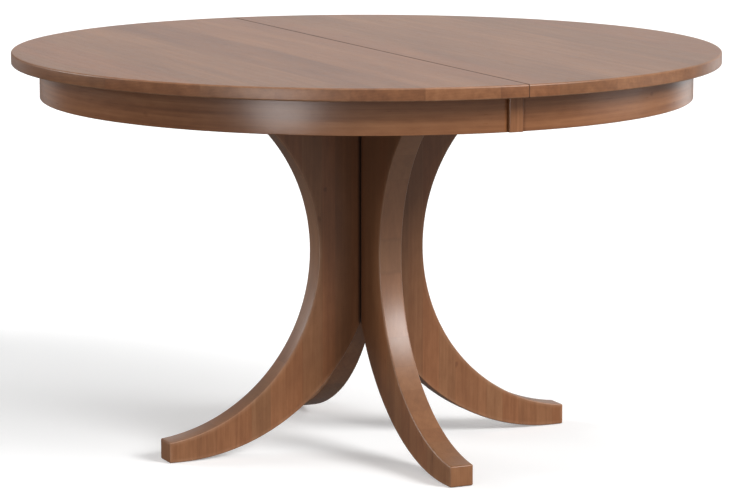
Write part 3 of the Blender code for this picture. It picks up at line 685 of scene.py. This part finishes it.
def addTurned(name, radius, height, spot, material, body, replaced=(), around=48, lying=False):
    # Rings of r(t) at h(t): a point is (r cos t, r sin t, h), moved to the spot, or (h, r cos t, r sin t)
    # for a piece that lies along X. Radius and height have one value for each ring, or one for each
    # ring and turn.
    turn = np.linspace(0.0, 2 * math.pi, around, endpoint=False)[None, :]
    radius = np.broadcast_to(radius, (len(radius), around))
    height = np.broadcast_to(height, (len(radius), around))
    out = [radius * np.cos(turn), radius * np.sin(turn)]
    rings = np.stack([height, *out] if lying else [*out, height], -1) + np.array(spot)
    return addLoft(name, rings, material, body, replaced)


def column(*values):
    # one value for each ring of a turned piece
    return np.array(values, float)[:, None]


def middleOf(node):
    # the middle of a node's box in x and y, and the box
    low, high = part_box(node)
    return (low.x + high.x) / 2, (low.y + high.y) / 2, low, high


# the two halves of the top

top = {
    "rimRounding": 0.0032,
    "splitRounding": 0.0009,
    "roundingSteps": 7,
    "capInset": 2.5,  # in roundings
    "rimPoints": 240,
    "splitPoints": 60,
    "cornerStep": 0.0008,
    "boardShift": 0.02,
}


def halfDisc(radius, edge, rimPoints, splitPoints):
    # For each ring: the arc (r cos t, r sin t) with t up to arccos(edge / r) on each side, then the
    # straight run back on the line x = edge. Both have a point close to the corners where they meet,
    # so that those stay crisp.
    reach = np.arccos(edge / radius)[:, None]
    step = top["cornerStep"] / radius.max()
    share = np.linspace(-1.0, 1.0, rimPoints)
    share[[1, -2]] = step / quarter - 1.0, 1.0 - step / quarter
    turn = share[None, :] * reach
    arcX = radius[:, None] * np.cos(turn)
    arcY = radius[:, None] * np.sin(turn)
    run = np.linspace(1.0, -1.0, splitPoints + 2)[1:-1]
    run[[0, -1]] = 1.0 - step, step - 1.0
    lineY = run[None, :] * arcY[:, -1:]
    lineX = np.broadcast_to(edge[:, None], lineY.shape)
    return np.concatenate([arcX, lineX], 1), np.concatenate([arcY, lineY], 1)


def makeTop(side, sign):
    # A half disc swept through its thickness. Near each face the outline draws in along a quarter
    # circle, by rounding * (1 - sin t) at rounding * (1 - cos t) from the face.
    low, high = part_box("top_half_" + side)
    edge = low.x if sign > 0 else -high.x
    rim = top["rimRounding"]
    turn = np.linspace(0.0, quarter, top["roundingSteps"])
    drawn = np.concatenate([[top["capInset"]], 1.0 - np.sin(turn)])
    rise = np.concatenate([[0.0], rim * (1.0 - np.cos(turn))])
    drawn = np.concatenate([drawn, drawn[::-1]])
    z = np.concatenate([low.z + rise, high.z - rise[::-1]])
    split = edge + top["splitRounding"] * drawn
    x, y = halfDisc(high.y - rim * drawn, split, top["rimPoints"], top["splitPoints"])
    z = np.broadcast_to(z[:, None], x.shape)
    rings = np.stack([sign * x, sign * y, z], -1)
    order = np.arange(x.shape[1])[None, :]
    atSplit = (order == 0) | (order >= top["rimPoints"] - 1)
    eased = ((drawn > 0.0) & (drawn < 1.0))[:, None]
    capped = (drawn > 1.0)[:, None]
    arris = np.where(eased & ~atSplit, 1.0, 0.0)
    # painted shade on the split face and the thin strip of rim beside it, as in a gap
    crevice = np.where(atSplit & ~capped, 1.0, 0.0)
    grain = np.stack([sign * x + top["boardShift"], sign * y, z], -1)
    fields = {"arris": arris, "crevice": crevice, "grain": grain}
    addLoft("top" + side.capitalize(), rings, topWood, side + "_half", ["top_half_" + side], fields)


for side, sign in (("right", 1.0), ("left", -1.0)):
    makeTop(side, sign)
print("top ready")

# the apron, its upright blocks and the glue blocks behind it

apron = {
    "thickness": 0.020,
    "rounding": 0.0016,
    "hiddenRounding": 0.0004,
    "roundingSteps": 4,
    "pointsAlong": 220,
    "blockRounding": 0.0022,
    "blockEdge": 0.0014,
    "blockSteps": 5,
    "glueRounding": 0.0012,
    "glueEdge": 0.0007,
    "glueSteps": 3,
    "glueNose": 0.006,
    "glueTurns": (-50.0, 0.0, 50.0),
    # shifts in the grain, so that no two pieces show the same boards
    "alongShift": {"left": 0.0, "right": 3.0},
    "acrossShift": 0.11,
    "blockShift": {"front": (0.013, 0.0, 0.2), "back": (0.413, 0.4, 0.6)},
    "glueShift": {"left": 0.2, "right": 0.0},
    "glueStep": 0.37,
}


def makeApron(side, sign):
    # A rounded oblong section carried along half a circle: (r cos t, r sin t, z) for each of its points
    # (r, z). Its grain runs along the curve.
    low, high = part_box("apron_" + side)
    outer = max(high.x, -low.x)
    inner = outer - apron["thickness"]
    end = low.x if sign > 0 else -high.x
    corners = [(inner, low.z), (outer, low.z), (outer, high.z), (inner, high.z)]
    rounding = [apron["rounding"], apron["rounding"], apron["hiddenRounding"], apron["hiddenRounding"]]
    section = roundedLoop(corners, rounding, apron["roundingSteps"])
    reach = np.arccos(end / section[:, 0])
    turn = np.linspace(-1.0, 1.0, apron["pointsAlong"])[:, None] * reach[None, :]
    x = section[None, :, 0] * np.cos(turn)
    y = section[None, :, 0] * np.sin(turn)
    z = np.broadcast_to(section[None, :, 1], x.shape)
    rings = np.stack([sign * x, sign * y, z], -1)
    along = turn * outer + apron["alongShift"][side]
    through = np.broadcast_to(section[None, :, 0] - outer, x.shape)
    grain = np.stack([z - low.z + apron["acrossShift"], along, through], -1)
    name = "apron" + side.capitalize()
    addLoft(name, rings, apronWood, side + "_half", ["apron_" + side], {"grain": grain})


def makeApronBlock(row, body):
    # an oblong with rounded corners, carried up from the apron's lower edge; upright grain
    low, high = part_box("apron_block_" + row)
    corners = [(low.x, low.y), (high.x, low.y), (high.x, high.y), (low.x, high.y)]
    outline = roundedLoop(corners, apron["blockRounding"], apron["blockSteps"])
    rings = slabRings(outline, low.z, high.z, apron["blockEdge"])
    grain = rings[..., [0, 2, 1]] + np.array(apron["blockShift"][row])
    addLoft("block" + row.capitalize(), rings, apronWood, body, ["apron_block_" + row], {"grain": grain})


def makeGlueBlock(side, number, angle):
    # a square section with one corner cut off, carried along Y and turned round the table's axis
    node = f"glue_block_{side}_{number}"
    low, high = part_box(f"glue_block_{side}_2")  # the middle one, which stands square to the axes
    near, far = (low.x, high.x) if side == "right" else (-high.x, -low.x)
    nose = apron["glueNose"]
    corners = [(near, high.z), (near, high.z - nose), (far - nose, low.z), (far, low.z), (far, high.z)]
    outline = roundedLoop(corners, apron["glueRounding"], apron["glueSteps"])
    rings = slabRings(outline, low.y, high.y, apron["glueEdge"])[..., [0, 2, 1]]
    grain = rings[..., [2, 1, 0]] + apron["glueStep"] * number + apron["glueShift"][side]
    rings = turnedRound(rings, angle)
    name = f"glueBlock{side.capitalize()}{number}"
    addLoft(name, rings, blockMaple, side + "_half", [node], {"grain": grain})


for side, sign, ownRow in (("right", 1.0, "back"), ("left", -1.0, "front")):
    makeApron(side, sign)
    makeApronBlock(ownRow, side + "_half")
    straightTo = 0.0 if side == "right" else math.pi
    for number, angle in enumerate(apron["glueTurns"], 1):
        makeGlueBlock(side, number, straightTo + math.radians(angle))
print("apron ready")

# the four legs

leg = {
    "rounding": 0.0026,
    "cornerRounding": 0.0030,
    "roundingSteps": 6,
    "faceMargin": 0.006,
    "backPoints": 90,
    "instepPoints": 80,
    "cornerPoints": 7,
    "risePoints": 30,
    "overPoints": 12,
    "flat": 0.024,  # of the foot's underside
    "instepRadius": 0.417,
    "waist": 0.1118,  # how far out the leg is at its narrowest
    "topReach": 0.2913,
    "footHeight": 0.041,
    "mitreGap": 0.0009,
    "arrisShares": (0.05, 1.05),  # rings drawn in between these shares of the rounding are lightened, as wear and as a painted highlight
    # shifts in the grain from one leg to the next
    "grainSeed": 1.7,
    "seedAcross": 0.31,
    "seedThrough": 0.11,
    # painted shade falls within this reach of the corner between two legs, and under the plate
    "poolReach": 0.10,
    "poolInside": 0.55,
    "poolStart": 0.34,
    "poolUnder": 0.45,
}


def legBack(high, reach):
    # The circle that touches the waist line and passes through the top corner and the foot's corner.
    # Its radius cancels out of the two corners' equations, which leaves a quadratic for its level.
    ends = np.array([[leg["topReach"], high], [reach, leg["footHeight"]]])
    spans = ends[:, 0] - leg["waist"]
    offsets = ends[:, 0] ** 2 - leg["waist"] ** 2
    share = spans[1] / spans[0]
    above, below = ends[:, 1]
    linear = -2 * (below - share * above)
    constant = below**2 - share * (above**2 + offsets[0]) + offsets[1]
    level = [root for root in np.roots([1 - share, linear, constant]) if below < root < above][0]
    centre = ((above - level) ** 2 + offsets[0]) / (2 * spans[0])
    return centre, level, centre - leg["waist"]


def arcPoints(x, z, radius, start, end, count):
    # (x, z) + radius * (cos t, sin t), with t from start to end, for every ring at once
    share = np.linspace(0.0, 1.0, count)[None, :]
    turn = start + (end - start) * share
    return x + radius * np.cos(turn), z + radius * np.sin(turn)


def legOutline(inner, inset, high, low, reach):
    # The outline of a leg in (reach, height), drawn in by the inset, for an array of rings: down the
    # back arc, round the foot's two corners, up the instep arc to the inner line, and over the top.
    centre, level, radius = legBack(float(high.max()), reach)
    # a ring that is drawn in further than the foot's corners are round has sharp ones, set in
    corner = leg["cornerRounding"]
    further = np.maximum(inset - corner, 0.0)
    small = np.maximum(corner - inset, 0.0)
    footIn = reach - corner - further
    cornerLevel = level - np.sqrt((radius + corner + further) ** 2 - (footIn - centre) ** 2)
    meets = np.arctan2(level - cornerLevel, footIn - centre)
    start = math.pi - np.arcsin((high - level) / (radius + inset))
    back = arcPoints(centre, level, radius + inset, start, 2 * math.pi - meets, leg["backPoints"])
    upper = arcPoints(footIn, cornerLevel, small, math.pi - meets, 0.0, leg["cornerPoints"])
    lower = arcPoints(footIn, low + corner + further, small, 0.0, -quarter, leg["cornerPoints"])
    arch = reach - leg["flat"]  # where the instep's centre stands
    under = leg["instepRadius"] - inset
    stop = np.arccos(np.clip((arch - inner) / under, -1, 1)) - math.pi
    instep = arcPoints(arch, low + leg["instepRadius"], under, -quarter, stop, leg["instepPoints"])
    share = np.linspace(0.0, 1.0, leg["risePoints"])[None, 1:]
    rise = (inner * np.ones_like(share), instep[1][:, -1:] + (high - instep[1][:, -1:]) * share)
    share = np.linspace(0.0, 1.0, leg["overPoints"])[None, 1:-1]
    over = (inner + (back[0][:, :1] - inner) * share, high * np.ones_like(share))
    parts = [back, (upper[0][:, 1:], upper[1][:, 1:]), lower, instep, rise, over]
    return np.concatenate([part[0] for part in parts], 1), np.concatenate([part[1] for part in parts], 1)


def makeLeg(side, turn):
    # The outline at each depth y through the board. Near each face it draws in along a quarter circle,
    # by rounding * (1 - sin t) at rounding * (1 - cos t) from the face.
    low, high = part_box("leg_" + side)
    spread = high - low
    half = min(spread.x, spread.y) / 2
    reach = max(abs(value) for value in (low.x, low.y, high.x, high.y))
    bend = np.linspace(0.0, quarter, leg["roundingSteps"] + 1)
    rounding = leg["rounding"]
    inset = np.concatenate([[rounding + leg["faceMargin"]], rounding * (1.0 - np.sin(bend)), [0.0]])
    depth = np.concatenate([[half], half - rounding * (1.0 - np.cos(bend)), [0.0]])
    margin = np.concatenate([[leg["faceMargin"]], np.zeros(len(inset) - 1)])
    inset = np.concatenate([inset, inset[-2::-1]])[:, None]
    depth = np.concatenate([depth, -depth[-2::-1]])[:, None]
    margin = np.concatenate([margin, margin[-2::-1]])[:, None]
    inner = np.abs(depth) + leg["mitreGap"] + margin
    x, z = legOutline(inner, inset, high.z - margin, low.z, reach)
    y = depth * np.ones_like(x)
    order = np.arange(x.shape[1])[None, :]
    overStart = x.shape[1] - leg["overPoints"] + 2
    riseStart = overStart - leg["risePoints"] + 1
    rising = (order >= riseStart - 1) & (order < overStart - 2)
    least, most = leg["arrisShares"]
    rounded = (inset > least * rounding) & (inset < most * rounding)
    arris = np.where(rounded & (order < riseStart), 1.0, 0.0)
    # painted shade on the mitre faces in the gap between two legs
    crevice = np.where(rising & (margin == 0.0), 1.0, 0.0)
    seed = leg["grainSeed"] * (turn + 1.0)
    grain = np.stack([x + seed * leg["seedAcross"], z + seed, y + seed * leg["seedThrough"]], -1)
    rings = turnedRound(np.stack([x, y, z], -1), turn)
    # painted shade = 1 - (1 - corner's part) * (1 - part under the plate), each falling off with distance
    near = np.clip(1.0 - (x - inner) / leg["poolReach"], 0.0, 1.0)
    near = near * near * (3.0 - 2.0 * near)
    under = np.clip((z - leg["poolStart"]) / (high.z - leg["poolStart"]), 0.0, 1.0)
    pooled = 1.0 - (1.0 - near * leg["poolInside"]) * (1.0 - under * leg["poolUnder"])
    # painted sheen on the curved outer faces of the legs
    sanded = np.where((order < leg["backPoints"]) & (inset < rounding), 1.0, 0.0)
    fields = {"grain": grain, "arris": arris, "crevice": crevice, "pooled": pooled, "sanded": sanded}
    addLoft("leg" + side.capitalize(), rings, legWood, "pedestal", ["leg_" + side], fields)


for side, turn in (("right", 0.0), ("back", quarter), ("left", math.pi), ("front", -quarter)):
    makeLeg(side, turn)
print("legs ready")

# glides and screws

glide = {"thickness": 0.003, "edge": 0.0005, "lip": 0.0003, "nail": 0.0015, "centreShare": 0.02}
lag = {
    "shank": 0.003,
    "headHeight": 0.004,
    "flatShare": 0.94,
    "crownSlope": 30.0,
    "point": 0.006,
    "centre": 0.0003,
    "around": 72,
}
screw = {
    "crossWidth": 0.00055,
    "crossReach": 0.0024,
    "crossDepth": 0.0014,
    # the cut's floor rises to the head's face between these shares of its width and its reach
    "widthFade": (0.7, 1.3),
    "reachFade": (0.8, 1.1),
    "dome": 0.0005,
    "headEdge": 0.0011,
    "headHeight": 0.003,
    "shank": 0.0022,
    "point": 0.0004,
    "rings": 22,
    "centreShare": 0.03,
    "around": 72,
}


def makeGlide(side):
    # a round button under the foot, with eased edges and a nail that goes up into it
    x, y, low, high = middleOf("foot_glide_" + side)
    wide = (high.x - low.x) / 2
    edge, nail, thick = glide["edge"], glide["nail"], glide["thickness"]
    centre = wide * glide["centreShare"]
    radius = column(centre, wide - 3 * edge, wide - edge, wide, wide, wide - edge, nail, nail, nail / 5)
    height = column(0.0, 0.0, glide["lip"], 2 * edge, thick - edge, thick, thick, high.z - 2 * nail, high.z)
    name = "glide" + side.capitalize()
    addTurned(name, radius, height, (x, y, 0.0), nylon, "pedestal", ["foot_glide_" + side])


def makeLag(side):
    # A hexagon's radius is flat / cos(t), with t the turn from the middle of its nearest side. Its top
    # corners are cut by a cone, so they lie lower the further they reach.
    x, y, low, high = middleOf("lag_screw_" + side)
    corner = max(high.x - low.x, high.y - low.y) / 2
    turn = np.linspace(0.0, 2 * math.pi, lag["around"], endpoint=False)
    sixth = math.pi / 3
    flat = corner * math.cos(sixth / 2)
    hexagon = flat / np.cos((turn + sixth / 2) % sixth - sixth / 2)
    crown = flat * lag["flatShare"]
    cut = high.z - (hexagon - crown) * math.tan(math.radians(lag["crownSlope"]))
    under = high.z - lag["headHeight"]
    plain = np.ones_like(turn)
    tip, shank = plain * lag["centre"], plain * lag["shank"]
    radius = np.stack([tip, shank, shank, hexagon, hexagon, plain * crown, tip])
    levels = [low.z, low.z + lag["point"], under, under]
    height = np.stack([plain * level for level in levels] + [cut, plain * high.z, plain * high.z])
    name, node = "lagScrew" + side.capitalize(), "lag_screw_" + side
    addTurned(name, radius, height, (x, y, 0.0), steel, "pedestal", [node], around=lag["around"])


def faded(share, low, high):
    # 1 up to the share low, and down to 0 at the share high
    return np.clip((high - share) / (high - low), 0.0, 1.0)


def addScrew(name, x, y, face, tip, wide, body, replaced=()):
    # A head that faces down, with a cross cut into it: the cut is deep where the nearer of |x| and |y| is
    # under the cross's half width and the further one is under its reach. Above it comes a plain shank.
    around = screw["around"]
    turn = np.linspace(0.0, 2 * math.pi, around, endpoint=False)[None, :]
    radius = np.linspace(screw["centreShare"], 1.0, screw["rings"])[:, None] * wide * np.ones_like(turn)
    off = np.sort(np.abs(np.stack([radius * np.cos(turn), radius * np.sin(turn)])), axis=0)
    inside = faded(off[0] / screw["crossWidth"], *screw["widthFade"])
    inside = inside * faded(off[1] / screw["crossReach"], *screw["reachFade"])
    height = face + screw["dome"] * (radius / wide) ** 2 + screw["crossDepth"] * inside
    shank = screw["shank"]
    sides = [(wide, face + screw["headEdge"]), (shank, face + screw["headHeight"])]
    sides += [(shank, tip - 2 * shank), (screw["point"], tip)]
    radius = np.concatenate([radius] + [np.full((1, around), ring[0]) for ring in sides])
    height = np.concatenate([height] + [np.full((1, around), ring[1]) for ring in sides])
    addTurned(name, radius, height, (x, y, 0.0), steel, body, replaced, around)


for side in ("front", "right", "back", "left"):
    makeGlide(side)
    makeLag(side)
for row in ("front", "back"):
    for side in ("left", "right"):
        x, y, low, high = middleOf(f"rail_screw_{row}_{side}")
        name = f"railScrew{row.capitalize()}{side.capitalize()}"
        addScrew(name, x, y, low.z, high.z, (high.x - low.x) / 2, "pedestal", [f"rail_screw_{row}_{side}"])
print("glides and screws ready")

# what the halves carry under them: screws of the moving rails, axles, dowels and locks

slide = {
    "screwFromBack": 0.008,
    "screwShares": (0.14, 0.54, 0.93),
    "screwWide": 0.0042,
    "screwLength": 0.030,
    "screwProud": 0.0004,
}
axle = {"shares": (0.8, 1.0, 1.0, 0.8, 0.3, 0.05), "chamfer": 0.0006, "crown": 0.0001}
dowel = {
    "flutes": 16,
    "fluteDepth": 0.0003,
    "chamfer": 0.0012,
    "shares": (0.02, 0.72, 1.0, 1.0, 0.72, 0.02),
    "around": 128,
}
lock = {
    "plate": 0.002,
    "plateCorner": 0.004,
    "plateSteps": 6,
    "edge": 0.0005,
    "leverBevel": 0.0005,
    "bevelFrom": 40.0,
    "domeShares": (0.02, 1.0),
    "domeRings": 9,
    "pivotDome": 0.0011,
    "pivotHead": 0.002,
    "pivotShank": 0.002975,
    "post": 0.0035,
    "postShares": (0.05, 0.8, 1.0, 1.0, 0.05),
    "postChamfer": 0.0007,
    "postStop": 0.001,
    "screwWide": 0.0034,
    "screwAside": 0.0105,
    "screwBehind": 0.019,
    "screwLength": 0.014,
    "screwSunk": 0.0001,
}


def makeRailScrews(side, row):
    # three screws up through a moving rail, near its back, where the half hangs on it
    low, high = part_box(f"slide_rail_{side}_{row}")
    body = side + "_half"
    own = 1.0 if side == "right" else -1.0
    outer = high.y - slide["screwFromBack"] if side == "right" else low.y + slide["screwFromBack"]
    far = high.x if side == "right" else -low.x
    head, tip = low.z - slide["screwProud"], low.z + slide["screwLength"]
    for number, share in enumerate(slide["screwShares"], 1):
        name = f"slideScrew{side.capitalize()}{row.capitalize()}{number}"
        addScrew(name, own * far * share, outer, head, tip, slide["screwWide"], body)


def makeAxle(row):
    # a pin with chamfered ends and a low crown on the upper one
    x, y, low, high = middleOf("pinion_axle_" + row)
    chamfer, crown = axle["chamfer"], axle["crown"]
    radius = (high.x - low.x) / 2 * column(*axle["shares"])
    height = column(low.z, low.z + chamfer, high.z - chamfer, high.z - crown, high.z, high.z)
    name = "axle" + row.capitalize()
    addTurned(name, radius, height, (x, y, 0.0), steel, "pedestal", ["pinion_axle_" + row])


def makeDowel(number):
    # a round dowel with shallow flutes along it: r = R - depth * (1 + cos(n t)) / 2, with chamfered ends
    name, node = f"dowel{number}", f"alignment_pin_{number}"
    low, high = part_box(node)
    wide = (high.z - low.z) / 2
    chamfer, around = dowel["chamfer"], dowel["around"]
    turn = np.linspace(0.0, 2 * math.pi, around, endpoint=False)[None, :]
    fluted = wide - dowel["fluteDepth"] * (1.0 + np.cos(dowel["flutes"] * turn)) / 2
    radius = fluted * column(*dowel["shares"])
    height = column(low.x, low.x, low.x + chamfer, high.x - chamfer, high.x, high.x)
    spot = (0.0, (low.y + high.y) / 2, (low.z + high.z) / 2)
    addTurned(name, radius, height, spot, railMaple, "left_half", [node], around=around, lying=True)


def addLockPlate(name, low, high, body, node):
    # a thin plate with round corners and eased edges, against the underside of the top
    corners = [(low.x, low.y), (high.x, low.y), (high.x, high.y), (low.x, high.y)]
    outline = roundedLoop(corners, lock["plateCorner"], lock["plateSteps"])
    rings = slabRings(outline, high.z - lock["plate"], high.z, lock["edge"])
    addLoft(name, rings, steel, body, [node])


def addLockScrews(name, x, y, face, body):
    # two screws side by side, sunk so that the lever passes over them
    head, tip = face + lock["screwSunk"], face + lock["screwLength"]
    for number, off in enumerate((-lock["screwAside"], lock["screwAside"]), 1):
        addScrew(f"{name}{number}", x, y + off, head, tip, lock["screwWide"], body)


def addLever(row, body):
    # the CAD lever's own surface with its corners joined, and a bevel along every sharp edge
    source = nodes["lock_lever_" + row].data
    corners = np.empty(len(source.vertices) * 3, np.float32)
    source.vertices.foreach_get("co", corners)
    loops = np.empty(len(source.loops), np.int32)
    source.loops.foreach_get("vertex_index", loops)
    points, joined = np.unique(np.round(corners.reshape(-1, 3), 6), axis=0, return_inverse=True)
    faces = joined.ravel()[loops].reshape(-1, 3)
    whole = (faces[:, 0] != faces[:, 1]) & (faces[:, 1] != faces[:, 2]) & (faces[:, 2] != faces[:, 0])
    name = "lockLever" + row.capitalize()
    piece = addPiece(name, points, faces[whole].tolist(), steel, body, ["lock_lever_" + row])
    bevel = piece.modifiers.new("easedEdges", "BEVEL")
    bevel.width = lock["leverBevel"]
    bevel.segments = 2
    bevel.limit_method = "ANGLE"
    bevel.angle_limit = math.radians(lock["bevelFrom"])


def makeLock(row, carrier):
    # the plate with its two screws, the lever, and the pivot under it, whose head has a low dome
    name = row.capitalize()
    x, y, low, high = middleOf("lock_plate_" + row)
    addLockPlate("lockPlate" + name, low, high, carrier, "lock_plate_" + row)
    behind = lock["screwBehind"] if carrier == "left_half" else -lock["screwBehind"]
    addLockScrews("lockScrew" + name, x - behind, y, high.z - lock["plate"], carrier)
    addLever(row, "lock_lever_" + row)
    x, y, low, high = middleOf("lock_pivot_" + row)
    wide, shank, head = (high.x - low.x) / 2, lock["pivotShank"], low.z + lock["pivotHead"]
    dome = np.linspace(*lock["domeShares"], lock["domeRings"])[:, None]
    radius = np.concatenate([wide * dome, column(wide, shank, shank)])
    height = np.concatenate([low.z + lock["pivotDome"] * dome**3, column(head, head, high.z)])
    addTurned("lockPivot" + name, radius, height, (x, y, 0.0), steel, carrier, ["lock_pivot_" + row])


def makeKeeper(row, catcher):
    # on the other half: the plate with its two screws, and the post that the lever hooks round
    name = row.capitalize()
    x, y, low, high = middleOf("lock_keeper_" + row)
    addLockPlate("keeperPlate" + name, low, high, catcher, "lock_keeper_" + row)
    addLockScrews("keeperScrew" + name, x, y, high.z - lock["plate"], catcher)
    radius = lock["post"] * column(*lock["postShares"])
    stop = high.z - lock["postStop"]
    height = column(low.z, low.z, low.z + lock["postChamfer"], stop, stop)
    addTurned("keeperPost" + name, radius, height, (x, y, 0.0), steel, catcher)


for row in ("front", "back"):
    makeAxle(row)
    makeRailScrews("left", row)
    makeRailScrews("right", row)
for number in range(1, 5):
    makeDowel(number)
for row, carrier, catcher in (("front", "left_half", "right_half"), ("back", "right_half", "left_half")):
    makeLock(row, carrier)
    makeKeeper(row, catcher)
print("slides, dowels and locks ready")
